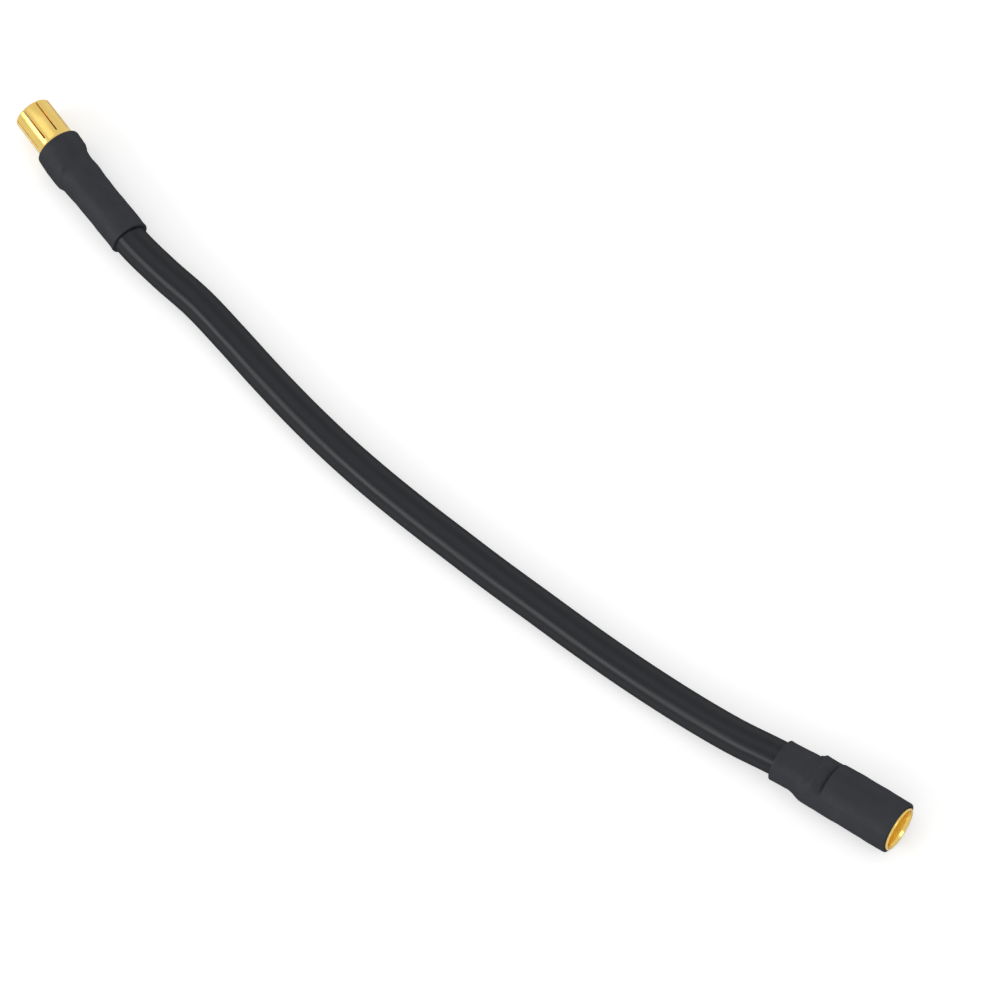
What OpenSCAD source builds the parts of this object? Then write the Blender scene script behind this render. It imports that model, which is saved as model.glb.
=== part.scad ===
// Battery lead: a silicone wire with a slotted bullet plug at one end and a
// bullet socket at the other. Each contact is turned from brass and gold plated,
// is soldered to the wire in a scooped cup, and wears a heat-shrink sleeve.
// Millimetres, +Z up. The lead lies on the plane z = 0, plug at -X, socket at +X.

/* [Wire] */
// Diameter over the silicone jacket
wire_d = 5.5; // [4.6:0.1:6.6]
// Diameter of the stranded copper core
core_d = 3.2; // [2.6:0.1:3.9]

/* [Plug] */
// Diameter of the slotted contact
contact_d = 6; // [5:0.1:7.2]
// Length of contact that stands out of the sleeve
contact_len = 7; // [5.5:0.1:9]
// Number of spring fingers
finger_count = 8; // [4:1:10]
// Wall of a spring finger
finger_wall = 0.9; // [0.6:0.05:1.2]
// Width of a slot between two fingers
slot_w = 0.2; // [0.1:0.05:0.6]
// Solid band of contact between the slots and the sleeve
slot_stop = 0.95; // [0.6:0.05:2]
// Turn of the slots about the axis
slot_turn = 23; // [0:1:45]
// Rounding of the contact's front edge
tip_round = 0.4; // [0.1:0.05:0.6]
// Step from the contact up to the collar
collar_step = 0.15; // [0.1:0.05:0.5]
// Length of the collar and its cup, on the cup's long side
plug_cup_len = 6.1; // [5.2:0.1:8]

/* [Socket] */
// Wall around the socket's bore
socket_wall = 0.475; // [0.35:0.025:0.8]
// Length of the socket's barrel
socket_len = 12.2; // [11:0.1:15]
// Depth of the bore that takes a plug
socket_depth = 8.8; // [7.4:0.1:9.6]
// Chamfer at the bore's mouth
mouth_chamfer = 0.25; // [0.1:0.05:0.4]
// Diameter of the neck behind the barrel
neck_d = 6; // [5.8:0.1:6.4]
// Length of the neck
neck_len = 0.8; // [0.5:0.1:1.2]
// Diameter outside the socket's cup
socket_cup_d = 6.6; // [6.2:0.1:7]
// Length of the socket's cup, on its long side
socket_cup_len = 3.6; // [3:0.1:5]

/* [Solder cups] */
// Solder around the core, as a radial width
solder_w = 0.9; // [0.4:0.05:1]
// Solid web between the plug's cup and the hollow behind its fingers
plug_web = 1.8; // [1:0.1:2.5]
// Solid web between the socket's cup and its bore
socket_web = 1.5; // [0.8:0.1:3]
// How far the plug's cup is cut back on its open side
plug_scoop = 2.5; // [0.5:0.1:3.5]
// How far the socket's cup is cut back on its open side
socket_scoop = 2.2; // [0.5:0.1:2.5]
// Gap between the wire's jacket and a cup's lip
lip_gap = 0.2; // [0.1:0.05:0.5]

/* [Sleeves] */
// Wall of the shrunk sleeve
sleeve_wall = 0.48; // [0.3:0.02:0.7]
// Length of wire that the plug's sleeve grips
plug_grip = 12.9; // [5:0.1:13]
// Length of wire that the socket's sleeve grips
socket_grip = 3.8; // [2:0.1:4.4]
// Length of gold that shows in front of the socket's sleeve
socket_show = 0.3; // [0.1:0.05:1]
// Length over which a sleeve draws down behind its cup
shoulder_len = 0.8; // [0.4:0.1:1.5]

/* [Clearances] */
// Gap between a plug and the socket's bore, on the radius
fit_gap = 0.025; // [0.01:0.005:0.05]
// Gap between a sleeve and what it grips, on the radius
film_gap = 0.02; // [0.01:0.01:0.05]
// Gap around the core and the solder, on the radius
fill_gap = 0.02; // [0.01:0.01:0.05]

/* [Hidden] */

$fn = 96;
cord_sides = 12;
sleeve_sides = 36;
arc_steps = 5;
cut = 1;             // how far a cutter runs past what it cuts
edge_round = 0.15;   // softened corner of a sleeve's end
neck_sag = 0.3;      // how far the film sinks into the socket's neck
collar_taper = 0.4;  // length over which the collar comes down to the contact
taper_show = 0.1;    // end of that taper, in front of the sleeve
plug_open = 270;     // side on which the plug's cup is cut back: level, towards +Y
socket_open = 180;   // side on which the socket's cup is cut back: up

wire_r = wire_d / 2;
core_r = core_d / 2;
contact_r = contact_d / 2;
collar_r = contact_r + collar_step;
bore_r = contact_r + fit_gap;
socket_r = bore_r + socket_wall;
cup_bore_r = core_r + solder_w;

// Distances along each contact's axis, outwards from the end of the wire's jacket
collar_front = lip_gap + plug_cup_len;
contact_start = collar_front + collar_taper;
plug_sleeve_front = contact_start - taper_show;
plug_tip = plug_sleeve_front + contact_len;
slot_start = plug_sleeve_front + slot_stop;
contact_bore_end = slot_start - slot_stop / 2;
plug_cup_floor = contact_bore_end - plug_web;
socket_cup_front = lip_gap + socket_cup_len;
barrel_back = socket_cup_front + neck_len;
socket_mouth = barrel_back + socket_len;
socket_bore_end = socket_mouth - socket_depth;
socket_cup_floor = socket_bore_end - socket_web;
socket_sleeve_front = socket_mouth - socket_show;

// A faceted sleeve clears a round part of radius r, or the faceted wire
function film_in(r) = (r + film_gap) / cos(180 / sleeve_sides);
function film_out(r) = film_in(r) + sleeve_wall;

// Each contact lies on the thickest part of its sleeve
plug_h = film_out(max(collar_r, wire_r));
socket_h = film_out(max(socket_r, wire_r));

// The wire's route from cup to cup: x, y, and how far it is lifted from lying on
// the surface (0) to its contact's own height (1)
route = [
    [-75.3, -0.5, 1], [-62.3, -3.2, 1], [-55, -3.75, 0.6], [-47.5, -3.9, 0.12],
    [-39.5, -4.8, 0], [-31.5, -5.85, 0], [-23.5, -6.7, 0], [-15.5, -7.25, 0],
    [-7.5, -7.45, 0], [0.5, -7.35, 0], [8.5, -7.05, 0], [16.5, -6.7, 0],
    [24.5, -6.2, 0], [32.5, -5.7, 0], [40.5, -5.05, 0], [48, -4.25, 0.05],
    [54.5, -3.45, 0.35], [61, -2.4, 0.8], [67.3, -0.8, 1], [72, -0.1, 1]];
path = [for (i = [0:len(route) - 1])
    let (h = i < len(route) / 2 ? plug_h : socket_h)
    [route[i].x, route[i].y, wire_r + route[i].z * (h - wire_r)]];
last = len(path) - 1;

function unit(v) = v / norm(v);

// Direction of a path at point i, halfway between the stretches that meet there
function heading(pts, i) =
    i == 0 ? unit(pts[1] - pts[0]) :
    i == len(pts) - 1 ? unit(pts[i] - pts[i - 1]) :
    unit(unit(pts[i + 1] - pts[i]) + unit(pts[i] - pts[i - 1]));

// Ring of a cord of radius r, square to the path at point i, one corner down
function cord_ring(pts, i, r) =
    let (t = heading(pts, i), side = unit(cross(t, [0, 0, 1])), up = cross(side, t))
    [for (k = [0:cord_sides - 1])
        let (a = 360 * k / cord_sides)
        pts[i] + r * (sin(a) * side - cos(a) * up)];

function cord_rings(pts, r) = [for (i = [0:len(pts) - 1]) cord_ring(pts, i, r)];

// Distance along the axis of a scooped cup's edge, at angle a, with its long side
// at the lip and its short side towards the angle open
function cup_edge(a, scoop, open) = lip_gap + scoop * (1 + cos(a - open)) / 2;

// Ring of a sleeve: radius r at distance z, or z from the cup's edge if scoop is given
function film_ring(r, z, scoop = 0, open = 0) =
    [for (k = [0:sleeve_sides - 1])
        let (a = 360 * k / sleeve_sides)
        [r * cos(a), r * sin(a), z + (scoop > 0 ? cup_edge(a, scoop, open) : 0)]];

// Points of a quarter round of radius r about a centre, from angle a0 to a1
function quarter(centre, r, a0, a1) =
    [for (i = [0:arc_steps])
        let (a = a0 + (a1 - a0) * i / arc_steps)
        centre + r * [cos(a), sin(a)]];

function flat(lists) = [for (l = lists) each l];

// Two triangles for each step around the band from ring i to ring j
function band(i, j, n) =
    [for (k = [0:n - 1]) let (m = (k + 1) % n)
        each [[i * n + k, i * n + m, j * n + m], [i * n + k, j * n + m, j * n + k]]];

// Wall through a closed loop of rings: a tube's outside and then its inside
module ring_wall(rings) {
    polyhedron(flat(rings),
        flat([for (i = [0:len(rings) - 1]) band(i, (i + 1) % len(rings), len(rings[0]))]));
}

// Solid through an open row of rings, closed at both ends
module ring_solid(rings) {
    n = len(rings[0]);
    m = len(rings);
    polyhedron(flat(rings), concat(
        flat([for (i = [0:m - 2]) band(i, i + 1, n)]),
        [[for (k = [n - 1:-1:0]) k], [for (k = [0:n - 1]) (m - 1) * n + k]]));
}

function reversed(list) = [for (i = [len(list) - 1:-1:0]) list[i]];

// Puts a contact built along +Z from the jacket's end on the plug's or socket's axis
module at_plug() {
    out = path[0] - path[1];
    translate(path[0]) rotate([0, 90, atan2(out.y, out.x)]) children();
}

module at_socket() {
    out = path[last] - path[last - 1];
    translate(path[last]) rotate([0, 90, atan2(out.y, out.x)]) children();
}

// Cuts away what lies behind a scooped cup's edge, moved outwards by inset
module scoop_cutter(r, scoop, open, inset = 0) {
    reach = 3 * r;
    translate([0, 0, lip_gap + scoop / 2 + inset])
        rotate([0, -atan2(scoop / 2, r), open])
            translate([-reach, -reach, -reach]) cube([2 * reach, 2 * reach, reach]);
}

// Bore of a solder cup, from behind its lip to its floor
module cup_bore(floor) {
    translate([0, 0, -cut]) cylinder(r = cup_bore_r, h = floor + cut);
}

// Turned body with a profile of [radius, distance] points
module turned(profile) {
    rotate_extrude() polygon(profile);
}

module male_plug() {
    bore = contact_r - finger_wall;
    color("gold") at_plug() difference() {
        turned(concat(
            [[0, lip_gap], [collar_r, lip_gap], [collar_r, collar_front], [contact_r, contact_start]],
            quarter([contact_r - tip_round, plug_tip - tip_round], tip_round, 0, 90),
            [[0, plug_tip]]));
        translate([0, 0, contact_bore_end]) cylinder(r = bore, h = plug_tip);
        for (i = [0:finger_count - 1])
            rotate(slot_turn + i * 360 / finger_count)
                translate([0, -slot_w / 2, slot_start])
                    cube([collar_r + cut, slot_w, plug_tip]);
        cup_bore(plug_cup_floor);
        scoop_cutter(collar_r, plug_scoop, plug_open);
    }
}

module female_socket() {
    neck_r = neck_d / 2;
    cup_r = socket_cup_d / 2;
    mouth_r = bore_r + mouth_chamfer;
    lip_r = (socket_r - mouth_r) / 2;
    color("gold") at_socket() difference() {
        turned(concat(
            [[0, lip_gap], [cup_r, lip_gap], [cup_r, socket_cup_front], [neck_r, socket_cup_front],
             [neck_r, barrel_back], [socket_r, barrel_back]],
            quarter([socket_r - lip_r, socket_mouth - lip_r], lip_r, 0, 90),
            [[mouth_r, socket_mouth], [bore_r, socket_mouth - 2 * mouth_chamfer],
             [bore_r, socket_bore_end], [0, socket_bore_end]]));
        cup_bore(socket_cup_floor);
        scoop_cutter(cup_r, socket_scoop, socket_open);
    }
}

// Solder that fills a cup around the core, down to the cup's own slanted edge
module solder(floor, cup_r, scoop, open) {
    difference() {
        cylinder(r = cup_bore_r - fill_gap, h = floor - fill_gap);
        translate([0, 0, -cut]) cylinder(r = core_r + fill_gap, h = floor + 2 * cut);
        scoop_cutter(cup_r, scoop, open, fill_gap);
    }
}

module male_solder() {
    color("silver") at_plug() solder(plug_cup_floor, collar_r, plug_scoop, plug_open);
}

module female_solder() {
    color("silver") at_socket()
        solder(socket_cup_floor, socket_cup_d / 2, socket_scoop, socket_open);
}

// Rings of a sleeve from the wire up over its cup: the outside, and the inside.
// At the cup's edge the film stands on whichever is thicker, the cup or the wire.
function shoulder_out(grip, cup_r, scoop, open) =
    [film_ring(film_out(wire_r) - edge_round, -grip),
     film_ring(film_out(wire_r), edge_round - grip),
     film_ring(film_out(wire_r), -shoulder_len, scoop, open),
     film_ring((film_out(wire_r) + film_out(max(cup_r, wire_r))) / 2,
               -shoulder_len / 2, scoop, open),
     film_ring(film_out(max(cup_r, wire_r)), 0, scoop, open),
     film_ring(film_out(cup_r), shoulder_len / 2, scoop, open)];

function shoulder_in(grip, cup_r, scoop, open) =
    [film_ring(film_in(wire_r), -grip),
     film_ring(film_in(wire_r), -shoulder_len, scoop, open),
     film_ring(film_in(max(cup_r, wire_r)), -film_gap, scoop, open),
     film_ring(film_in(cup_r), shoulder_len / 2, scoop, open)];

module male_sleeve() {
    front_r = contact_r + collar_step * taper_show / collar_taper;
    outside = concat(
        shoulder_out(plug_grip, collar_r, plug_scoop, plug_open),
        [film_ring(film_out(collar_r), collar_front - edge_round),
         film_ring(film_out(collar_r) - edge_round / 2, collar_front + edge_round / 2),
         film_ring(film_out(front_r) - edge_round, plug_sleeve_front)]);
    inside = concat(
        shoulder_in(plug_grip, collar_r, plug_scoop, plug_open),
        [film_ring(film_in(collar_r), collar_front + film_gap),
         film_ring(film_in(front_r), plug_sleeve_front)]);
    color("#26272a") at_plug() ring_wall(concat(outside, reversed(inside)));
}

module female_sleeve() {
    cup_r = socket_cup_d / 2;
    neck_mid = (socket_cup_front + barrel_back) / 2;
    outside = concat(
        shoulder_out(socket_grip, cup_r, socket_scoop, socket_open),
        [film_ring(film_out(cup_r), socket_cup_front),
         film_ring(film_out(socket_r) - neck_sag, neck_mid),
         film_ring(film_out(socket_r), barrel_back + edge_round),
         film_ring(film_out(socket_r), socket_sleeve_front - edge_round),
         film_ring(film_out(socket_r) - edge_round, socket_sleeve_front)]);
    inside = concat(
        shoulder_in(socket_grip, cup_r, socket_scoop, socket_open),
        [film_ring(film_in(cup_r), socket_cup_front + film_gap),
         film_ring(film_in(socket_r) - neck_sag, neck_mid),
         film_ring(film_in(socket_r), barrel_back - film_gap),
         film_ring(film_in(socket_r), socket_sleeve_front)]);
    color("#26272a") at_socket() ring_wall(concat(outside, reversed(inside)));
}

module wire_insulation() {
    color("#1d1e20") ring_wall(concat(
        cord_rings(path, wire_r),
        reversed(cord_rings(path, core_r + fill_gap))));
}

// The core runs on past the jacket at both ends, to just short of each cup's floor
module copper_conductor() {
    core_path = concat(
        [path[0] + (plug_cup_floor - fill_gap) * unit(path[0] - path[1])],
        path,
        [path[last] + (socket_cup_floor - fill_gap) * unit(path[last] - path[last - 1])]);
    color("#b87333") ring_solid(cord_rings(core_path, core_r));
}

male_plug();
female_socket();
male_solder();
female_solder();
male_sleeve();
female_sleeve();
wire_insulation();
copper_conductor();
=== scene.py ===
import bpy, bmesh, math
from mathutils import Matrix, Vector


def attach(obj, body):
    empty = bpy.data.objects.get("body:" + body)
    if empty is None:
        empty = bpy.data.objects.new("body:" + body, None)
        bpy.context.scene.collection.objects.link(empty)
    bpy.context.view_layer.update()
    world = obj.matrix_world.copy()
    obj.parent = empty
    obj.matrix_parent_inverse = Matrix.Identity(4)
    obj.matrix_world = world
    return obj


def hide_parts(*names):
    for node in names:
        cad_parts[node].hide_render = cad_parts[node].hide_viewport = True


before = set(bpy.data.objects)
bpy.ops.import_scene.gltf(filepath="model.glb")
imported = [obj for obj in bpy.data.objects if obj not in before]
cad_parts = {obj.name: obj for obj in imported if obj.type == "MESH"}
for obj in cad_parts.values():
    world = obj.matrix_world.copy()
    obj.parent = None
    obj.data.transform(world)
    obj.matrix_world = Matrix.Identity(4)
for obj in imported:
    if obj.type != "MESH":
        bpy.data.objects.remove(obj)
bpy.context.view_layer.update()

# The lead lies on z = 0 with its plug at -X and its socket at +X. Sizes are in
# millimetres here and become metres where a mesh is made.
MM = 0.001

# ---------------------------------------------------------------- sizes
WIRE_R = 2.75            # over the silicone jacket
DRAWN = 0.95             # how much of that is left behind the plug
REGAINED = 0.6           # share of the lost width that the wire has again further on
CORE_R = 1.6             # the strand bundle
STRAND_R = 0.21
STRAND_ROWS = 4          # one strand in the middle and rows of 6, 12 and 18 round it
STRAND_ROW = 0.44        # from one row to the next
STRAND_LAY = 45          # length of wire in which the bundle turns once
SPARE = 0.02             # gap round the core and under a sleeve
FILM = 0.48              # wall of a shrunk sleeve
THINNEST = 0.14          # the same, where the film is drawn tight over an edge
LOOSE = 0.6              # most that a sleeve stands off what is under it
BRIDGE = 0.3             # length behind a cup's lip in which a sleeve clears the wire
CUP_BORE_R = 2.5         # bore of both solder cups
LIP = 0.2                # from the jacket's end to a cup's lip

# Distances along a contact are outwards from the end of the wire's jacket
FINGERS = 8
FINGER_TURN = 23         # degrees
SLOT_W = 0.2
CONTACT_R = 3.0
HOLLOW_R = CONTACT_R - 0.9
COLLAR_R = CONTACT_R + 0.15
COLLAR_FRONT = LIP + 6.1
CONTACT_START = COLLAR_FRONT + 0.4
SLOT_START = CONTACT_START + 0.85
HOLLOW_FLOOR = SLOT_START - 0.475
PLUG_CUP_FLOOR = HOLLOW_FLOOR - 1.8
TIP = CONTACT_START + 6.9
TIP_ROUND = 0.3
PLUG_SCOOP = 3.7         # how far the cup is cut back
PLUG_OPEN = 270          # side on which it is cut back, in degrees

BORE_R = CONTACT_R + 0.025
BARREL_R = BORE_R + 0.475
MOUTH_R = BORE_R + 0.25
NECK_R = 3.0
SOCKET_CUP_R = 3.3
SOCKET_CUP_FRONT = LIP + 3.6
BARREL_BACK = SOCKET_CUP_FRONT + 0.8
MOUTH = BARREL_BACK + 12.2
BORE_FLOOR = MOUTH - 8.8
SOCKET_CUP_FLOOR = BORE_FLOOR - 1.5
SOCKET_SCOOP = 2.2
SOCKET_OPEN = 180

# Where each sleeve starts and ends
PLUG_FILM = (-12.9, 6.45)
SOCKET_FILM = (-3.8, MOUTH - 0.3)

# Each contact's axis lies as high as its sleeve's outside radius. The frame's sleeves
# have 36 flat sides and lie on a corner.
CORNER = 1 / math.cos(math.radians(180 / 36))
PLUG_H = round((COLLAR_R + SPARE) * CORNER + FILM, 4)
SOCKET_H = round((BARREL_R + SPARE) * CORNER + FILM, 4)

# Route of the wire from cup to cup: x, y, and how far it is lifted from lying on
# the surface (0) to its contact's own height (1)
ROUTE = [
    (-75.3, -0.5, 1), (-62.3, -3.2, 1), (-55, -3.75, 0.6), (-47.5, -3.9, 0.12),
    (-39.5, -4.8, 0), (-31.5, -5.85, 0), (-23.5, -6.7, 0), (-15.5, -7.25, 0),
    (-7.5, -7.45, 0), (0.5, -7.35, 0), (8.5, -7.05, 0), (16.5, -6.7, 0),
    (24.5, -6.2, 0), (32.5, -5.7, 0), (40.5, -5.05, 0), (48, -4.25, 0.05),
    (54.5, -3.45, 0.35), (61, -2.45, 0.8), (66.6, -1.2, 1),
    (70.657, -0.3, 1), (72, -0.1, 1)]


def route_points():
    """The route as points in millimetres, each at its own height."""
    points = []
    for i, (x, y, lift) in enumerate(ROUTE):
        high = PLUG_H if i < len(ROUTE) / 2 else SOCKET_H
        points.append(Vector((x, y, WIRE_R + lift * (high - WIRE_R))))
    return points


# ---------------------------------------------------------------- camera
def studio_camera(look_at, distance, azimuth, elevation, roll, lens):
    """A long lens that looks down on the table from high on one side. Lengths are in
    millimetres and angles in degrees."""
    a, e, r = (math.radians(v) for v in (azimuth, elevation, roll))
    back = Vector((math.sin(a) * math.cos(e), -math.cos(a) * math.cos(e), math.sin(e)))
    level = Vector((math.cos(a), math.sin(a), 0))
    upright = back.cross(level)
    right = math.cos(r) * level - math.sin(r) * upright
    up = math.cos(r) * upright + math.sin(r) * level
    data = bpy.data.cameras.new("studio_camera")
    data.sensor_width = 36
    data.lens = lens
    data.clip_start, data.clip_end = 0.05, 20
    camera = bpy.data.objects.new("studio_camera", data)
    place = Matrix((right, up, back)).transposed().to_4x4()
    place.translation = (Vector(look_at) + back * distance) * MM
    camera.matrix_world = place
    bpy.context.collection.objects.link(camera)
    bpy.context.scene.camera = camera


studio_camera(look_at=(8.096, 2.834, 0), distance=1039.8,
              azimuth=65.23, elevation=69, roll=24.05, lens=252)


# ---------------------------------------------------------------- small helpers
def hex_rgb(code):
    """sRGB hex to linear RGBA."""
    out = []
    for i in (1, 3, 5):
        c = int(code[i:i + 2], 16) / 255
        out.append(c / 12.92 if c <= 0.04045 else ((c + 0.055) / 1.055) ** 2.4)
    return (*out, 1.0)


def add(tree, kind, inputs=None, **settings):
    """A node with its settings, and its inputs set to a value or linked to a socket."""
    node = tree.nodes.new(kind)
    for name, value in settings.items():
        setattr(node, name, value)
    for key, value in (inputs or {}).items():
        if isinstance(value, bpy.types.NodeSocket):
            tree.links.new(value, node.inputs[key])
        else:
            node.inputs[key].default_value = value
    return node


def material(name, kind="ShaderNodeBsdfPrincipled"):
    """A material with only its last shader: (material, tree, shader node)."""
    mat = bpy.data.materials.new(name)
    mat.use_nodes = True
    tree = mat.node_tree
    tree.nodes.clear()
    shader = add(tree, kind)
    add(tree, "ShaderNodeOutputMaterial", {"Surface": shader.outputs[0]})
    return mat, tree, shader


def rise(x, start, run):
    """0 up to start, 1 from a run beyond it, with soft ends."""
    x = min(1.0, max(0.0, (x - start) / run))
    return x * x * (3 - 2 * x)


def polar(radius, angle, z):
    """A point at a radius and angle round the z axis."""
    return Vector((radius * math.cos(angle), radius * math.sin(angle), z))


# ---------------------------------------------------------------- materials
def gold_plating():
    """Bright gold plated over turned brass. Almost a mirror, warm yellow, with the fine
    rings that the lathe tool leaves and a little haze where it was handled. The slots'
    walls and the hollow are painted a deeper gold, as painted shade in these recesses."""
    mat, tree, shader = material("bright gold plating on turned brass")
    # U runs round the piece and V along it, both in millimetres. The rings are 0.25 mm
    # apart. Real tool rings are finer and are drawn coarser so that they show
    where = add(tree, "ShaderNodeTexCoord").outputs["UV"]
    turned = add(tree, "ShaderNodeMapping", {
        "Vector": where, "Scale": (1 / 50, 1 / 0.25, 1)}).outputs["Vector"]
    rings = add(tree, "ShaderNodeTexNoise", {
        "Vector": turned, "Scale": 1.0, "Detail": 3.0, "Roughness": 0.6}).outputs["Fac"]
    # Haze in patches of about 2 by 4 mm
    handled = add(tree, "ShaderNodeMapping", {
        "Vector": where, "Scale": (0.6, 0.25, 1)}).outputs["Vector"]
    haze = add(tree, "ShaderNodeTexNoise", {
        "Vector": handled, "Scale": 1.0, "Detail": 4.0, "Roughness": 0.55}).outputs["Fac"]
    tint = add(tree, "ShaderNodeMix", {
        0: haze, 6: hex_rgb("#f2ca69"), 7: hex_rgb("#fadd87")}, data_type="RGBA")
    # The slots' walls and the hollow, marked by an attribute, get a deeper gold: painted shade in
    # these recesses
    painted_recess_shade = add(tree, "ShaderNodeAttribute", attribute_name="painted_recess_shade").outputs["Fac"]
    recess_shaded_gold = add(tree, "ShaderNodeMix", {
        0: painted_recess_shade, 6: tint.outputs[2], 7: hex_rgb("#d9a441")}, data_type="RGBA")
    tree.links.new(recess_shaded_gold.outputs[2], shader.inputs["Base Color"])
    rough = add(tree, "ShaderNodeMapRange", {
        "Value": haze, "From Min": 0.3, "From Max": 0.75, "To Min": 0.15, "To Max": 0.25})
    tree.links.new(rough.outputs["Result"], shader.inputs["Roughness"])
    bump = add(tree, "ShaderNodeBump", {
        "Height": rings, "Strength": 0.035, "Distance": 0.01 * MM})
    tree.links.new(bump.outputs["Normal"], shader.inputs["Normal"])
    shader.inputs["Metallic"].default_value = 1.0
    return mat


def shrink_film():
    """Polyolefin heat shrink. Matt charcoal black, with the fine orange peel that the
    film takes as it draws down and a faint paler bloom on its high places."""
    mat, tree, shader = material("matt black polyolefin heat shrink")
    # The peel is finer than this on a real sleeve and is drawn coarser so that it shows
    where = add(tree, "ShaderNodeTexCoord").outputs["Object"]
    grain = add(tree, "ShaderNodeTexNoise", {
        "Vector": where, "Scale": 1 / (0.35 * MM), "Detail": 3.0, "Roughness": 0.6}).outputs["Fac"]
    drawn = add(tree, "ShaderNodeTexNoise", {
        "Vector": where, "Scale": 1 / (2.4 * MM), "Detail": 2.0, "Roughness": 0.5}).outputs["Fac"]
    bloom = add(tree, "ShaderNodeMix", {
        0: drawn, 6: hex_rgb("#1f2126"), 7: hex_rgb("#2a2c32")}, data_type="RGBA")
    tree.links.new(bloom.outputs[2], shader.inputs["Base Color"])
    rough = add(tree, "ShaderNodeMapRange", {
        "Value": grain, "From Min": 0.3, "From Max": 0.7, "To Min": 0.48, "To Max": 0.62})
    # Seen at a glancing angle, the peel scatters what it reflects
    edge = add(tree, "ShaderNodeMapRange", {
        "Value": add(tree, "ShaderNodeLayerWeight", {"Blend": 0.5}).outputs["Facing"],
        "From Min": 0.3, "From Max": 0.75, "To Min": 0.0, "To Max": 0.4})
    spread = add(tree, "ShaderNodeMath", {
        0: rough.outputs["Result"], 1: edge.outputs["Result"]}, operation="ADD")
    tree.links.new(spread.outputs["Value"], shader.inputs["Roughness"])
    peel = add(tree, "ShaderNodeMath", {0: grain, 1: drawn}, operation="ADD").outputs["Value"]
    bump = add(tree, "ShaderNodeBump", {
        "Height": peel, "Strength": 0.3, "Distance": 0.03 * MM})
    tree.links.new(bump.outputs["Normal"], shader.inputs["Normal"])
    shader.inputs["IOR"].default_value = 1.5
    shader.inputs["Specular IOR Level"].default_value = 0.3
    return mat


def silicone():
    """Extruded silicone rubber. Satin black, a little glossier than the sleeves, with
    soft lengthwise ripples from the extruder and a dusty bloom."""
    mat, tree, shader = material("extruded black silicone rubber")
    # U runs round the jacket and V along it, both in millimetres. The ripples are about
    # 1 mm wide and 20 mm long, the dust lies in patches of 1.25 mm
    where = add(tree, "ShaderNodeTexCoord").outputs["UV"]
    drawn = add(tree, "ShaderNodeMapping", {
        "Vector": where, "Scale": (0.9, 1 / 20, 1)}).outputs["Vector"]
    flow = add(tree, "ShaderNodeTexNoise", {
        "Vector": drawn, "Scale": 1.0, "Detail": 3.0, "Roughness": 0.55}).outputs["Fac"]
    dust = add(tree, "ShaderNodeTexNoise", {
        "Vector": where, "Scale": 1 / 1.25, "Detail": 4.0, "Roughness": 0.65}).outputs["Fac"]
    tone = add(tree, "ShaderNodeMix", {
        0: dust, 6: hex_rgb("#0a0d12"), 7: hex_rgb("#14181f")}, data_type="RGBA")
    tree.links.new(tone.outputs[2], shader.inputs["Base Color"])
    rough = add(tree, "ShaderNodeMapRange", {
        "Value": flow, "From Min": 0.3, "From Max": 0.7, "To Min": 0.24, "To Max": 0.34})
    # Seen at a glancing angle, the dust on the rubber scatters what it reflects
    edge = add(tree, "ShaderNodeMapRange", {
        "Value": add(tree, "ShaderNodeLayerWeight", {"Blend": 0.5}).outputs["Facing"],
        "From Min": 0.25, "From Max": 0.7, "To Min": 0.0, "To Max": 0.65})
    spread = add(tree, "ShaderNodeMath", {
        0: rough.outputs["Result"], 1: edge.outputs["Result"]}, operation="ADD")
    tree.links.new(spread.outputs["Value"], shader.inputs["Roughness"])
    bump = add(tree, "ShaderNodeBump", {
        "Height": flow, "Strength": 0.4, "Distance": 0.06 * MM})
    tree.links.new(bump.outputs["Normal"], shader.inputs["Normal"])
    shader.inputs["IOR"].default_value = 1.41
    shader.inputs["Specular IOR Level"].default_value = 0.43
    return mat


def tinned_copper():
    """Fine copper strands with a tin coat. Pale warm grey metal, redder in patches of
    about 1.5 mm where the coat is thinner."""
    mat, tree, shader = material("tinned copper strand")
    where = add(tree, "ShaderNodeTexCoord").outputs["Object"]
    coat = add(tree, "ShaderNodeTexNoise", {
        "Vector": where, "Scale": 1 / (1.5 * MM), "Detail": 2.0}).outputs["Fac"]
    worn = add(tree, "ShaderNodeMix", {
        0: coat, 6: hex_rgb("#c9b9ae"), 7: hex_rgb("#c98d6b")}, data_type="RGBA")
    tree.links.new(worn.outputs[2], shader.inputs["Base Color"])
    rough = add(tree, "ShaderNodeMapRange", {"Value": coat, "To Min": 0.25, "To Max": 0.4})
    tree.links.new(rough.outputs["Result"], shader.inputs["Roughness"])
    shader.inputs["Metallic"].default_value = 1.0
    return mat


def tin_solder():
    """Solder that froze in the cup. Dull silver with a faint frosting of 0.6 mm grain."""
    mat, tree, shader = material("frozen tin solder")
    where = add(tree, "ShaderNodeTexCoord").outputs["Object"]
    frost = add(tree, "ShaderNodeTexNoise", {
        "Vector": where, "Scale": 1 / (0.6 * MM), "Detail": 4.0}).outputs["Fac"]
    tone = add(tree, "ShaderNodeMix", {
        0: frost, 6: hex_rgb("#a9abad"), 7: hex_rgb("#c6c7c9")}, data_type="RGBA")
    tree.links.new(tone.outputs[2], shader.inputs["Base Color"])
    rough = add(tree, "ShaderNodeMapRange", {"Value": frost, "To Min": 0.28, "To Max": 0.5})
    tree.links.new(rough.outputs["Result"], shader.inputs["Roughness"])
    bump = add(tree, "ShaderNodeBump", {
        "Height": frost, "Strength": 0.3, "Distance": 0.02 * MM})
    tree.links.new(bump.outputs["Normal"], shader.inputs["Normal"])
    shader.inputs["Metallic"].default_value = 1.0
    return mat


GOLD = gold_plating()
SHRINK = shrink_film()
SILICONE = silicone()
STRAND = tinned_copper()
SOLDER = tin_solder()


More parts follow.
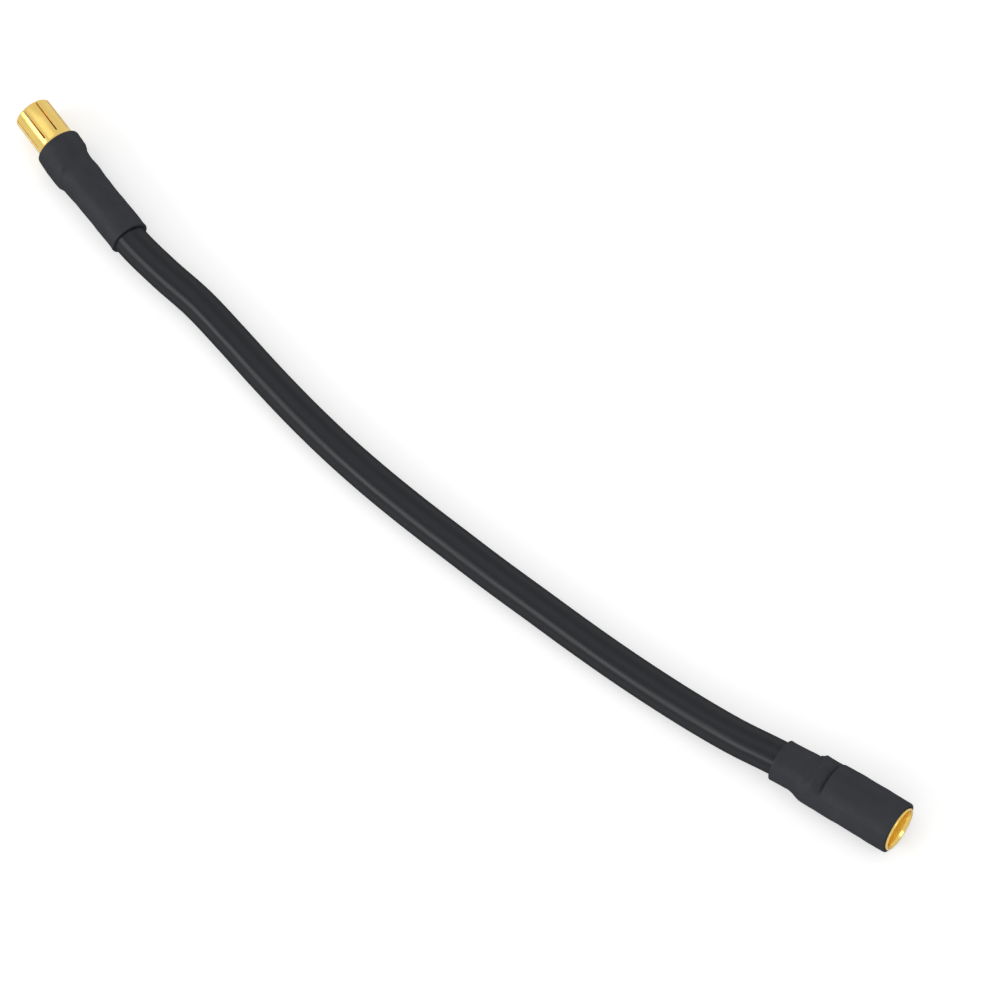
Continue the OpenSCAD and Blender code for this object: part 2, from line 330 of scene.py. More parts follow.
# ---------------------------------------------------------------- the wire's line
def smooth_line(points, step):
    """One smooth curve through the points, as points about step apart."""
    def blend(p0, p1, p2, p3, t):
        """The point at t, from 0 to 1, on the stretch between p1 and p2."""
        t0, t1 = 0.0, (p1 - p0).length ** 0.5
        t2 = t1 + (p2 - p1).length ** 0.5
        t3 = t2 + (p3 - p2).length ** 0.5
        t = t1 + (t2 - t1) * t
        a1 = p0 * ((t1 - t) / (t1 - t0)) + p1 * ((t - t0) / (t1 - t0))
        a2 = p1 * ((t2 - t) / (t2 - t1)) + p2 * ((t - t1) / (t2 - t1))
        a3 = p2 * ((t3 - t) / (t3 - t2)) + p3 * ((t - t2) / (t3 - t2))
        b1 = a1 * ((t2 - t) / (t2 - t0)) + a2 * ((t - t0) / (t2 - t0))
        b2 = a2 * ((t3 - t) / (t3 - t1)) + a3 * ((t - t1) / (t3 - t1))
        return b1 * ((t2 - t) / (t2 - t1)) + b2 * ((t - t1) / (t2 - t1))

    before = points[0] * 2 - points[1]
    after = points[-1] * 2 - points[-2]
    line = [before, *points, after]
    out = []
    for i in range(1, len(line) - 2):
        count = max(1, round((line[i + 1] - line[i]).length / step))
        for k in range(count):
            out.append(blend(*line[i - 1:i + 3], k / count))
    out.append(points[-1].copy())
    return out


route = route_points()
wire_line = smooth_line(route, step=0.8)

# The wire runs dead straight in its sleeves, so both ends' headings hold there
PLUG_OUT = (route[0] - route[1]).normalized()
SOCKET_OUT = (route[-1] - route[-2]).normalized()


# ---------------------------------------------------------------- meshes
def make_object(name, verts, faces, mat, uvs=None):
    """A smooth-shaded object at the origin from points in millimetres. uvs gives one
    (u, v) for each corner of each face, in the faces' order."""
    mesh = bpy.data.meshes.new(name)
    mesh.from_pydata([tuple(Vector(v) * MM) for v in verts], [], faces)
    if uvs:
        layer = mesh.uv_layers.new(name="wrap")
        layer.data.foreach_set("uv", [c for corner in uvs for c in corner])
    mesh.materials.append(mat)
    mesh.polygons.foreach_set("use_smooth", [True] * len(mesh.polygons))
    mesh.update()
    obj = bpy.data.objects.new(name, mesh)
    bpy.context.collection.objects.link(obj)
    return obj


def tube_object(name, outside, inside, mat):
    """A closed tube from rings of points, given from rear to front for its outside and
    its inside. Its wrap coordinates are in millimetres: U round it, V along it."""
    wrap_r = 3.0             # radius at which U is measured
    rings = outside + inside[::-1]
    count, sides = len(rings), len(rings[0])
    run = [0.0]
    for ring, after in zip(rings, rings[1:] + rings[:1]):
        run.append(run[-1] + (after[0] - ring[0]).length)
    around = [2 * math.pi * wrap_r * k / sides for k in range(sides + 1)]
    faces, uvs = [], []
    for i in range(count):
        here, there = i * sides, (i + 1) % count * sides
        for k in range(sides):
            q = (k + 1) % sides
            faces.append((here + k, here + q, there + q, there + k))
            uvs += [(around[k], run[i]), (around[k + 1], run[i]),
                    (around[k + 1], run[i + 1]), (around[k], run[i + 1])]
    return make_object(name, [p for ring in rings for p in ring], faces, mat, uvs)


def contact_frame(start, out):
    """Matrix from a contact's own axes to the lead's. Its z is the axis, outwards; its
    angle 0 faces down and 180 up, and 90 faces -Y on the plug and +Y on the socket."""
    upended = Matrix.Rotation(math.radians(90), 4, "Y")
    turned = Matrix.Rotation(math.atan2(out.y, out.x), 4, "Z")
    return Matrix.Translation(start) @ turned @ upended


AT_PLUG = contact_frame(route[0], PLUG_OUT)
AT_SOCKET = contact_frame(route[-1], SOCKET_OUT)


def seat(obj, place, crease=40):
    """Puts a piece made on its own axes into the lead, with hard edges where its faces
    meet at more than crease degrees."""
    moved = place.copy()
    moved.translation *= MM
    obj.data.transform(moved)
    obj.data.polygons.foreach_set("use_smooth", [True] * len(obj.data.polygons))
    obj.data.set_sharp_from_angle(angle=math.radians(crease))
    obj.data.update()
    return obj


def node_tree(name, sizes):
    """An empty geometry tree with a geometry socket and named number inputs.
    Returns (tree, input node, output node, {name: identifier})."""
    tree = bpy.data.node_groups.new(name, "GeometryNodeTree")
    tree.interface.new_socket("Geometry", in_out="INPUT", socket_type="NodeSocketGeometry")
    tree.interface.new_socket("Geometry", in_out="OUTPUT", socket_type="NodeSocketGeometry")
    keys = {}
    for label, kind in sizes.items():
        socket = tree.interface.new_socket(label, in_out="INPUT", socket_type=kind)
        keys[label] = socket.identifier
    return tree, tree.nodes.new("NodeGroupInput"), tree.nodes.new("NodeGroupOutput"), keys


def grow(obj, tree, keys, values):
    """Runs a geometry tree on obj and keeps its result as obj's own plain mesh."""
    modifier = obj.modifiers.new(tree.name, "NODES")
    modifier.node_group = tree
    for label, value in values.items():
        modifier[keys[label]] = value
    depsgraph = bpy.context.evaluated_depsgraph_get()
    made = bpy.data.meshes.new_from_object(obj.evaluated_get(depsgraph))
    obj.modifiers.remove(modifier)
    obj.data = made
    return obj


# ---------------------------------------------------------------- the wire
def cord_rings(line, radii, sides):
    """Rings of points round a line, square to it, one corner down."""
    rings = []
    for i, (p, radius) in enumerate(zip(line, radii)):
        ahead = Vector()
        if i:
            ahead += (p - line[i - 1]).normalized()
        if i < len(line) - 1:
            ahead += (line[i + 1] - p).normalized()
        side = ahead.normalized().cross(Vector((0, 0, 1))).normalized()
        up = side.cross(ahead.normalized())
        rings.append([p + radius * (math.sin(a) * side - math.cos(a) * up)
                      for a in (2 * math.pi * k / sides for k in range(sides))])
    return rings


def wire_jacket():
    """Silicone jacket: a tube, a little slimmer behind the plug, where it was stretched
    as the core was soldered, with softened cut ends."""
    sides = 72
    slim_until, widens_over = 33, 40
    softened = 0.08          # share of the wall that a cut end is drawn in by
    along, outer = 0.0, []
    for i, p in enumerate(wire_line):
        along += (p - wire_line[i - 1]).length if i else 0
        regained = REGAINED * rise(along, slim_until, widens_over)
        outer.append(WIRE_R * (DRAWN + (1 - DRAWN) * regained))
    outside = cord_rings(wire_line, outer, sides)
    inside = cord_rings(wire_line, [CORE_R + SPARE] * len(wire_line), sides)
    for end in (0, -1):
        outside[end] = [p + (q - p) * softened for p, q in zip(outside[end], inside[end])]
    return tube_object("wire_jacket", outside, inside, SILICONE)


def strand_bundle():
    """The stranded core. A tree lays rings of strands in the wire's cross-section and
    draws them along its line, turning slowly, as in a rope. The real core has about a
    thousand strands of 0.08 mm; these are thicker and fewer."""
    tree, given, done, keys = node_tree("rope_laid_core", dict.fromkeys(
        ("Strand radius", "Row spacing", "Lay length"), "NodeSocketFloat"))
    course = add(tree, "GeometryNodeMeshToCurve", {"Mesh": given.outputs["Geometry"]})
    along = add(tree, "GeometryNodeSplineParameter").outputs["Length"]
    turns = add(tree, "ShaderNodeMath", {
        0: along, 1: given.outputs["Lay length"]}, operation="DIVIDE")
    twist = add(tree, "ShaderNodeMath", {
        0: turns.outputs["Value"], 1: 2 * math.pi}, operation="MULTIPLY")
    rope = add(tree, "GeometryNodeSetCurveTilt", {
        "Curve": course.outputs["Curve"], "Tilt": twist.outputs["Value"]})

    places = add(tree, "GeometryNodeJoinGeometry")
    for row in range(STRAND_ROWS):
        radius = add(tree, "ShaderNodeMath", {
            0: given.outputs["Row spacing"], 1: row}, operation="MULTIPLY")
        spots = add(tree, "GeometryNodeMeshCircle", {
            "Vertices": max(3, 6 * row), "Radius": radius.outputs["Value"]}).outputs["Mesh"]
        if row == 0:
            # The middle strand has a single spot
            spots = add(tree, "GeometryNodeMergeByDistance", {
                "Geometry": spots, "Distance": 0.01 * MM}).outputs["Geometry"]
        tree.links.new(spots, places.inputs["Geometry"])

    strand = add(tree, "GeometryNodeCurvePrimitiveCircle", {
        "Resolution": 6, "Radius": given.outputs["Strand radius"]})
    laid = add(tree, "GeometryNodeInstanceOnPoints", {
        "Points": places.outputs["Geometry"], "Instance": strand.outputs["Curve"]})
    section = add(tree, "GeometryNodeRealizeInstances", {"Geometry": laid.outputs["Instances"]})
    drawn = add(tree, "GeometryNodeCurveToMesh", {
        "Curve": rope.outputs["Curve"], "Profile Curve": section.outputs["Geometry"],
        "Fill Caps": True})
    real = add(tree, "GeometryNodeRealizeInstances", {"Geometry": drawn.outputs["Mesh"]})
    metal = add(tree, "GeometryNodeSetMaterial", {
        "Geometry": real.outputs["Geometry"], "Material": STRAND})
    tree.links.new(metal.outputs["Geometry"], done.inputs["Geometry"])

    # The core runs on into both cups, nearly to their floors
    axis = [route[0] + PLUG_OUT * (PLUG_CUP_FLOOR - SPARE), *wire_line[::2],
            route[-1] + SOCKET_OUT * (SOCKET_CUP_FLOOR - SPARE)]
    mesh = bpy.data.meshes.new("strand_bundle")
    mesh.from_pydata([tuple(p * MM) for p in axis], [(i, i + 1) for i in range(len(axis) - 1)], [])
    obj = bpy.data.objects.new("strand_bundle", mesh)
    bpy.context.collection.objects.link(obj)
    grow(obj, tree, keys, {"Strand radius": STRAND_R * MM, "Row spacing": STRAND_ROW * MM,
                           "Lay length": STRAND_LAY * MM})
    obj.data.polygons.foreach_set("use_smooth", [True] * len(obj.data.polygons))
    return obj


# ---------------------------------------------------------------- the contacts
def lathe_wrap(mesh):
    """Wrap coordinates in millimetres for a turned piece on its own z axis: U round
    it and V along its profile, so that V's stripes are the lathe's rings."""
    layer = mesh.uv_layers.get("wrap") or mesh.uv_layers.new(name="wrap")
    for face in mesh.polygons:
        middle = math.atan2(face.center.y, face.center.x)
        for corner in face.loop_indices:
            p = mesh.vertices[mesh.loops[corner].vertex_index].co / MM
            angle = math.atan2(p.y, p.x)
            angle += 2 * math.pi * round((middle - angle) / (2 * math.pi))
            layer.data[corner].uv = (CONTACT_R * angle, p.z - math.hypot(p.x, p.y))


def lip_height(x, y, radius, scoop, side):
    """Distance of a scooped cup's slanted lip from the jacket's end, at a point."""
    a = math.radians(side)
    return LIP + scoop * (1 + (x * math.cos(a) + y * math.sin(a)) / radius) / 2


def add_cup(obj, radius, scoop, side, floor):
    """Closes a contact's open rear rim with its solder cup: outside wall down to the
    slanted lip, bore and floor."""
    shape = bmesh.new()
    shape.from_mesh(obj.data)
    rim = {v for e in shape.edges if e.is_boundary for v in e.verts}
    rim = sorted(rim, key=lambda v: math.atan2(v.co.y, v.co.x))
    angles = [math.atan2(v.co.y, v.co.x) for v in rim]
    bevel = 0.08

    def ring(r, height):
        made = []
        for a in angles:
            p = polar(r, a, 0)
            p.z = height(p.x, p.y)
            made.append(shape.verts.new(p * MM))
        return made

    def lip(x, y):
        return lip_height(x, y, radius, scoop, side)

    def above_lip(x, y):
        return lip(x, y) + bevel

    def flat(x, y):
        return floor

    rings = [rim, ring(radius, above_lip), ring(radius - bevel, lip),
             ring(CUP_BORE_R + bevel, lip), ring(CUP_BORE_R, above_lip), ring(CUP_BORE_R, flat)]
    count = len(rim)
    for upper, lower in zip(rings, rings[1:]):
        for k in range(count):
            q = (k + 1) % count
            shape.faces.new((upper[q], upper[k], lower[k], lower[q]))
    shape.faces.new(rings[-1])
    bmesh.ops.recalc_face_normals(shape, faces=shape.faces)
    shape.to_mesh(obj.data)
    shape.free()


def finger_block():
    """One finger's share of the plug's front: a slotted spring finger on its part of
    the solid band and of the hollow's floor, open where it joins the collar's cup. Its
    attribute is 1 on the slots' walls and in the hollow, to paint shade there in the gold."""
    half = math.pi / FINGERS
    wall = SLOT_W / 2        # from the block's side to the finger's wall
    corner = 0.05            # softened long edges of the finger
    inner_round = 0.14       # the tip's rounding on the hollow's side
    arc = 12                 # steps in the finger's two arcs
    cup_row = 5.9            # where the block ends and the cup is added
    mid_finger, mid_band = 10.5, 7.0     # rows that keep the faces even
    verts, faces, painted_recess_shade = [], [], []

    def arc_points(radius, span):
        """From -span to span, or from span to -span where it is given as negative."""
        return [polar(radius, -span + 2 * span * k / arc, 0).to_2d() for k in range(arc + 1)]

    def wall_point(along, side):
        """On the finger's wall on one side, at a distance from the axis."""
        ray = Vector((math.cos(half), side * math.sin(half)))
        off = Vector((-side * math.sin(half), math.cos(half))) * side
        return ray * along - off * wall

    def outline(outer, inner):
        """The finger's section, anticlockwise: outer arc, wall, inner arc, wall."""
        span_out = half - math.asin(wall / outer) - corner / outer
        span_in = half - math.asin(wall / inner) - corner / inner
        edge_out = math.sqrt(outer ** 2 - wall ** 2) - corner
        edge_in = math.sqrt(inner ** 2 - wall ** 2) + corner
        return [*arc_points(outer, span_out), wall_point(edge_out, 1), wall_point(edge_in, 1),
                *arc_points(inner, -span_in), wall_point(edge_in, -1), wall_point(edge_out, -1)]

    def place(points, z):
        """Adds the points at a height and gives their numbers."""
        start = len(verts)
        verts.extend(Vector((p.x, p.y, z)) for p in points)
        return list(range(start, len(verts)))

    def ring_row(angles, radius, z):
        """A row of points at a radius and height, one at each angle."""
        return place([polar(radius, a, z).to_2d() for a in angles], z)

    # The finger, from the slot's end to the rounded tip
    stations = [(SLOT_START, CONTACT_R, HOLLOW_R), (mid_finger, CONTACT_R, HOLLOW_R)]
    for a in (math.radians(d) for d in range(0, 91, 15)):
        z = TIP - TIP_ROUND + TIP_ROUND * math.sin(a)
        up = max(0.0, z - (TIP - inner_round))
        inward = inner_round - math.sqrt(max(0.0, inner_round ** 2 - up ** 2))
        stations.append((z, CONTACT_R - TIP_ROUND * (1 - math.cos(a)), HOLLOW_R + inward))
    loops = [place(outline(outer, inner), z) for z, outer, inner in stations]
    count = len(loops[0])
    for low, high in zip(loops, loops[1:]):
        faces += [(low[k], low[(k + 1) % count], high[(k + 1) % count], high[k])
                  for k in range(count)]
    faces.append(tuple(loops[-1]))
    # Painted shade on the slots' walls and the finger's inside, up to where the tip begins to
    # round: all of a section but its outer arc
    painted_recess_shade += [v for loop in loops[:4] for v in loop[arc + 1:]]

    # The slot's end, and points on the block's two sides that the next fingers share
    first = loops[0]
    outer_arc, wall_left = first[:arc + 1], first[arc + 1:arc + 3]
    inner_arc, wall_right = first[arc + 3:2 * arc + 4], first[2 * arc + 4:]
    border = {}
    for side in (-1, 1):
        for label, r in (("out", CONTACT_R), ("in", HOLLOW_R)):
            border[side, label] = len(verts)
            verts.append(polar(r, side * half, SLOT_START))

    # The band outside, from the slot's end back to the collar
    upper = [border[-1, "out"], *outer_arc, border[1, "out"]]
    angles = [math.atan2(verts[v].y, verts[v].x) for v in upper]
    for z, r in ((mid_band, CONTACT_R), (CONTACT_START, CONTACT_R), (COLLAR_FRONT, COLLAR_R),
                 (cup_row, COLLAR_R)):
        lower = ring_row(angles, r, z)
        faces += [(lower[k], lower[k + 1], upper[k + 1], upper[k]) for k in range(len(upper) - 1)]
        upper = lower

    # The hollow behind the fingers and its floor
    upper = [border[-1, "in"], *inner_arc[::-1], border[1, "in"]]
    angles = [math.atan2(verts[v].y, verts[v].x) for v in upper]
    lower = ring_row(angles, HOLLOW_R, HOLLOW_FLOOR)
    # The hollow's floor takes the painted shade too
    painted_recess_shade += lower
    faces += [(lower[k + 1], lower[k], upper[k], upper[k + 1]) for k in range(len(lower) - 1)]
    centre = len(verts)
    verts.append(Vector((0, 0, HOLLOW_FLOOR)))
    faces += [(centre, lower[k], lower[k + 1]) for k in range(len(lower) - 1)]

    # The slot's end, half of it on each side of the finger
    faces.append((outer_arc[-1], border[1, "out"], border[1, "in"],
                  inner_arc[0], wall_left[1], wall_left[0]))
    faces.append((border[-1, "in"], border[-1, "out"], outer_arc[0],
                  wall_right[1], wall_right[0], inner_arc[-1]))
    obj = make_object("plug_contact", verts, faces, GOLD)
    # Marks where the gold is painted darker, as shade in the slots and the hollow
    marks = obj.data.attributes.new("painted_recess_shade", "FLOAT", "POINT")
    for v in painted_recess_shade:
        marks.data[v].value = 1.0
    return obj


def plug_contact():
    """The slotted contact: a tree turns one finger block round the axis, then the
    collar's cup is added behind."""
    tree, given, done, keys = node_tree("ring_of_spring_fingers", {
        "Fingers": "NodeSocketInt", "Turn": "NodeSocketFloat", "Weld": "NodeSocketFloat"})
    spots = add(tree, "GeometryNodePoints", {"Count": given.outputs["Fingers"]})
    each = add(tree, "ShaderNodeMath", {
        0: 2 * math.pi, 1: given.outputs["Fingers"]}, operation="DIVIDE")
    index = add(tree, "GeometryNodeInputIndex").outputs["Index"]
    angle = add(tree, "ShaderNodeMath", {
        0: index, 1: each.outputs["Value"], 2: given.outputs["Turn"]}, operation="MULTIPLY_ADD")
    turn = add(tree, "ShaderNodeCombineXYZ", {"Z": angle.outputs["Value"]})
    laid = add(tree, "GeometryNodeInstanceOnPoints", {
        "Points": spots.outputs["Points"], "Instance": given.outputs["Geometry"],
        "Rotation": turn.outputs["Vector"]})
    real = add(tree, "GeometryNodeRealizeInstances", {"Geometry": laid.outputs["Instances"]})
    joined = add(tree, "GeometryNodeMergeByDistance", {
        "Geometry": real.outputs["Geometry"], "Distance": given.outputs["Weld"]})
    metal = add(tree, "GeometryNodeSetMaterial", {
        "Geometry": joined.outputs["Geometry"], "Material": GOLD})
    tree.links.new(metal.outputs["Geometry"], done.inputs["Geometry"])
    obj = finger_block()
    grow(obj, tree, keys, {"Fingers": FINGERS, "Weld": 0.002 * MM,
                           "Turn": math.radians(FINGER_TURN + 180 / FINGERS)})
    add_cup(obj, COLLAR_R, PLUG_SCOOP, PLUG_OPEN, PLUG_CUP_FLOOR)
    lathe_wrap(obj.data)
    return seat(obj, AT_PLUG)


def socket_contact():
    """The bored contact, turned in one piece: barrel with a rounded and chamfered
    mouth, neck and cup."""
    floor_round, lip_round, fillet = 0.1, 0.16, 0.05
    barrel_bevel, cup_bevel = 0.08, 0.06
    chamfer = 0.55           # length of the mouth's slanted entry
    cup_row = 2.9            # where the turned profile ends and the cup is added
    mid_bore, mid_barrel = 12.0, 10.0    # rows that keep the faces even
    profile = [(0.0, BORE_FLOOR), (BORE_R - floor_round, BORE_FLOOR),
               (BORE_R, BORE_FLOOR + floor_round), (BORE_R, mid_bore), (BORE_R, MOUTH - chamfer),
               (BORE_R + 0.02, MOUTH - chamfer + 0.07), (MOUTH_R, MOUTH - 0.02)]
    for a in (math.radians(d) for d in range(-60, 91, 30)):
        profile.append((BARREL_R - lip_round * (1 - math.sin(a)),
                        MOUTH - lip_round * (1 - math.cos(a))))
    profile += [(BARREL_R, mid_barrel), (BARREL_R, BARREL_BACK + barrel_bevel),
                (BARREL_R - barrel_bevel, BARREL_BACK), (NECK_R + fillet, BARREL_BACK),
                (NECK_R, BARREL_BACK - fillet), (NECK_R, SOCKET_CUP_FRONT + fillet),
                (NECK_R + fillet, SOCKET_CUP_FRONT), (SOCKET_CUP_R - cup_bevel, SOCKET_CUP_FRONT),
                (SOCKET_CUP_R, SOCKET_CUP_FRONT - cup_bevel), (SOCKET_CUP_R, cup_row)]
    sides = 96
    verts = [Vector((0, 0, BORE_FLOOR))]
    faces = []
    for r, z in profile[1:]:
        verts += [polar(r, 2 * math.pi * k / sides, z) for k in range(sides)]
    for k in range(sides):
        q = (k + 1) % sides
        faces.append((0, 1 + k, 1 + q))
        for i in range(len(profile) - 2):
            here, there = 1 + i * sides, 1 + (i + 1) * sides
            faces.append((here + k, there + k, there + q, here + q))
    obj = make_object("socket_contact", verts, faces, GOLD)
    add_cup(obj, SOCKET_CUP_R, SOCKET_SCOOP, SOCKET_OPEN, SOCKET_CUP_FLOOR)
    lathe_wrap(obj.data)
    return seat(obj, AT_SOCKET)


# ---------------------------------------------------------------- the shrink sleeves
# Slow uneven hills that a hand-held heat gun leaves in the film: height, radians per
# millimetre along the sleeve, waves round it, and how far the seed shifts each
HILLS = [(0.016, 0.9, 2, 1.0), (0.012, 1.7, -3, 2.3), (0.010, 0.45, 1, 4.1), (0.006, 3.1, 5, 1.0)]


def hills(z, a, seed):
    """Height of the film's hills at a distance along it and an angle."""
    return sum(height * math.sin(pace * z + waves * a + shift * seed)
               for height, pace, waves, shift in HILLS)


def toward(angle, side):
    """1 on the side that faces the angle side, 0 opposite, soft between."""
    return (1 + math.cos(angle - math.radians(side))) / 2


def plug_bed(z, a):
    """Inside radius of the plug's sleeve, over the wire, the cup and the collar's taper."""
    if z < LIP + PLUG_SCOOP * toward(a, PLUG_OPEN) - BRIDGE:
        return WIRE_R * DRAWN + SPARE
    if z < COLLAR_FRONT:
        return COLLAR_R + SPARE
    slope = (COLLAR_R - CONTACT_R) / (CONTACT_START - COLLAR_FRONT)
    return COLLAR_R + SPARE - (z - COLLAR_FRONT) * slope


def plug_film(z, a):
    """Outside radius of the plug's sleeve. It drops from the collar's cup to the wire
    along the cup's slanted lip, sinks a little into the cup's open side, and leans a
    little to one side from end to end, as the wire does in it."""
    opened = toward(a, PLUG_OPEN)
    lip = LIP + PLUG_SCOOP * opened
    shoulder_start, shoulder_run = lip - 0.45 * (1 + opened), 1.3 - 0.2 * opened
    slimmer = 0.16 * (1 - rise(z, -3, 3))
    wire, cup = WIRE_R + SPARE + FILM - slimmer, COLLAR_R + SPARE + FILM
    radius = wire + (cup - wire) * rise(z, shoulder_start, shoulder_run)
    # A dent over the cup's open side
    radius -= 0.12 * math.exp(-((z - 1.4) / 1.1) ** 2) * opened ** 3
    # The hills fade out towards the front edge
    radius += hills(z, a, 1.0) * (1 - rise(z, 4.9, 1.5))
    # The lean grows along the sleeve and is less again over the collar
    lean = -0.07 + 0.29 * rise(z, PLUG_FILM[0], 13) * (1 - 0.45 * rise(z, 3.5, 3))
    radius += lean * math.cos(a - math.radians(PLUG_OPEN - 180))

    # Over the wire's and the cup's own shape the film keeps its least thickness
    slim_wire = WIRE_R * DRAWN
    bed = slim_wire + (COLLAR_R - slim_wire) * rise(z, lip - 0.9, 0.6) + SPARE
    if z > COLLAR_FRONT:
        bed = plug_bed(z, a)
    return max(radius, bed + THINNEST)


def socket_bed(z, a):
    """Inside radius of the socket's sleeve, over the wire, the cup, the neck and the
    barrel."""
    if z < LIP + SOCKET_SCOOP * toward(a, SOCKET_OPEN) - BRIDGE:
        return WIRE_R + SPARE
    if z < SOCKET_CUP_FRONT + SPARE:
        return SOCKET_CUP_R + SPARE
    if z < BARREL_BACK - SPARE:
        return NECK_R + SPARE
    return BARREL_R + SPARE


def socket_film(z, a):
    """Outside radius of the socket's sleeve. It swells slowly off the wire on the -Y
    side and in a sharp step on the +Y side, and a crease sinks into the neck on top."""
    far = 1 - toward(a, 90)
    lip = LIP + SOCKET_SCOOP * toward(a, SOCKET_OPEN)
    swell_start, swell_run = lip - 0.35 - 1.65 * far ** 1.5, 0.75 + 2.15 * far ** 1.5
    wire, barrel = WIRE_R + SPARE + FILM, BARREL_R + SPARE + FILM
    cup = SOCKET_CUP_R + SPARE + FILM + 0.08 + 0.12 * far
    radius = wire + (cup - wire) * rise(z, swell_start, swell_run)
    radius += (barrel - cup) * rise(z, BARREL_BACK + SPARE, 0.4)
    # A slight bulge on one side of the barrel
    radius += 0.12 * rise(z, 4.5, 4) * max(0.0, math.cos(a - math.radians(110))) ** 2

    # The crease: how much of its depth it has at this angle, and at this distance
    turn = math.degrees(a)
    across = rise(turn, 94, 32) * (1 - rise(turn, 198, 36))
    along = min(1.0, max(0.0, (z - 2.7) / 1.9)) ** 1.8 * (1 - rise(z, BARREL_BACK, 0.26))
    radius -= 0.7 * across * along
    # The rear end leans to one side
    radius += 0.28 * (1 - rise(z, -3.5, 5)) * math.cos(a - math.radians(270))
    return max(radius + hills(z, a, 5.0), socket_bed(z, a) + THINNEST)


def shrink_sleeve(name, place, ends, outside, bed, front_round, flare):
    """A shrunk sleeve as a closed wall of rings. outside gives its outer radius and bed
    the metal or wire that it lies on; over a hollow its wall keeps its own thickness.
    Its rear edge is cut square and stands a little off the wire, and its front edge is
    rounded."""
    rear, front = ends
    sides, step = 108, 0.16  # points round it, and from ring to ring
    rear_round = 0.07
    count = round((front - rear) / step)
    stations = [rear + (front - rear) * k / count for k in range(count + 1)]
    # More rings where the two edges turn
    stations += [rear + 0.03, rear + rear_round]
    stations += [front - front_round * share for share in (0.02, 0.08, 0.2, 0.36)]
    stations.sort()
    turn = [2 * math.pi * k / sides for k in range(sides)]

    def lift(z):
        """How far the film stands off the wire near its rear edge."""
        return flare * (1 - rise(z, rear, 0.9))

    def outer_ring(z):
        near = min(1.0, (front - z) / front_round)
        drop = front_round * (1 - math.sqrt(max(0.0, 1 - (1 - near) ** 2)))
        nick = 0.05 * (1 - min(1.0, (z - rear) / rear_round)) ** 2
        return [polar(outside(z, a) + lift(z) - drop - nick, a, z) for a in turn]

    def inner_ring(z):
        ring = []
        for a in turn:
            loose = min(outside(z, a) - FILM, bed(z, a) + LOOSE)
            ring.append(polar(max(bed(z, a) + lift(z), loose), a, z))
        return ring

    obj = tube_object(name, [outer_ring(z) for z in stations],
                      [inner_ring(z) for z in stations], SHRINK)
    return seat(obj, place, crease=55)


# ---------------------------------------------------------------- build the lead
jacket = wire_jacket()
strands = strand_bundle()
plug = plug_contact()
socket = socket_contact()
plug_sleeve = shrink_sleeve("plug_sleeve", AT_PLUG, PLUG_FILM, plug_film, plug_bed,
                            front_round=0.30, flare=0.06)
socket_sleeve = shrink_sleeve("socket_sleeve", AT_SOCKET, SOCKET_FILM, socket_film, socket_bed,
                              front_round=0.22, flare=0.04)

for piece, node, finish in (
        (jacket, "wire_insulation", "silicone_rubber"),
        (strands, "copper_conductor", "stranded_copper"),
        (plug, "male_plug", "gold_plated_brass"),
        (socket, "female_socket", "gold_plated_brass"),
        (plug_sleeve, "male_sleeve", "heat_shrink"),
        (socket_sleeve, "female_sleeve", "heat_shrink")):
    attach(piece, "root")
    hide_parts(node)

# The solder keeps its own exact shape
for name in ("male_solder", "female_solder"):
    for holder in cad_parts[name].material_slots:
        holder.material = SOLDER


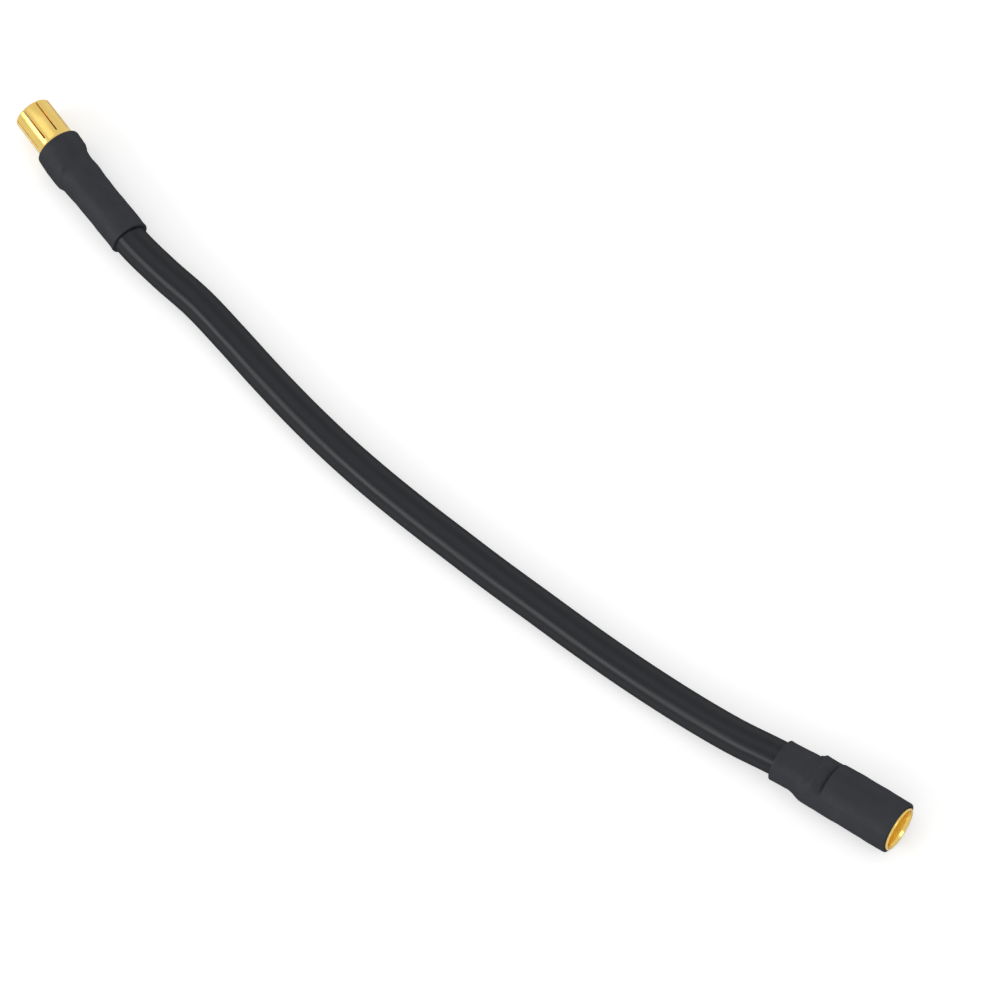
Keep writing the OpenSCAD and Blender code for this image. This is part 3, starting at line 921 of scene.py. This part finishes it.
# ---------------------------------------------------------------- the studio
def white_paper():
    """Matt white paper. It adds light of its own to what the camera sees of it, and
    less to what the gold mirrors, so that it reads as white and keeps the shadow."""
    mat, tree, shader = material("white paper sweep", "ShaderNodeAddShader")
    paper = add(tree, "ShaderNodeBsdfDiffuse", {"Color": hex_rgb("#d2d2d2")})
    rays = add(tree, "ShaderNodeLightPath")
    mirrored = add(tree, "ShaderNodeMath", {
        0: rays.outputs["Is Glossy Ray"], 1: 0.4}, operation="MULTIPLY")
    seen = add(tree, "ShaderNodeMath", {
        0: rays.outputs["Is Camera Ray"], 1: mirrored.outputs["Value"]}, operation="ADD")
    strength = add(tree, "ShaderNodeMath", {
        0: seen.outputs["Value"], 1: 0.44}, operation="MULTIPLY")
    glow = add(tree, "ShaderNodeEmission", {
        "Color": hex_rgb("#ffffff"), "Strength": strength.outputs["Value"]})
    tree.links.new(paper.outputs["BSDF"], shader.inputs[0])
    tree.links.new(glow.outputs["Emission"], shader.inputs[1])
    return mat


def pale_floor():
    """A plain pale sweep, in metres, a hair below the lead."""
    half, below = 1.5, -2e-5
    mesh = bpy.data.meshes.new("pale_floor")
    mesh.from_pydata([(-half, -half, below), (half, -half, below),
                      (half, half, below), (-half, half, below)], [], [(0, 1, 2, 3)])
    mesh.materials.append(white_paper())
    floor = bpy.data.objects.new("pale_floor", mesh)
    bpy.context.collection.objects.link(floor)
    return floor


pale_floor()


def softbox(name, place, aim, size, power):
    """A rectangular soft light, in metres and watts."""
    data = bpy.data.lights.new(name, "AREA")
    data.shape = "RECTANGLE"
    data.size, data.size_y = size
    data.energy = power
    lamp = bpy.data.objects.new(name, data)
    lamp.location = place
    lamp.rotation_euler = (Vector(aim) - Vector(place)).to_track_quat("-Z", "Y").to_euler()
    bpy.context.collection.objects.link(lamp)


softbox("key_strip", place=(-0.58, -1.32, 0.91), aim=(0, 0, 0), size=(1.5, 0.6), power=8.2)
softbox("overhead_strip", place=(-0.46, 0.2, 1.41), aim=(0, 0, 0), size=(1.2, 0.6), power=1.0)
softbox("front_box", place=(0.95, 0.22, 1.2), aim=(0.08, 0, 0), size=(0.6, 0.6), power=2.6)

# A plain white tent
world = bpy.data.worlds.new("white_tent")
bpy.context.scene.world = world
world.use_nodes = True
world.node_tree.nodes.clear()
cloth = add(world.node_tree, "ShaderNodeBackground", {"Color": hex_rgb("#ffffff"), "Strength": 0.8})
add(world.node_tree, "ShaderNodeOutputWorld", {"Surface": cloth.outputs["Background"]})
bpy.context.scene.view_settings.view_transform = "Standard"
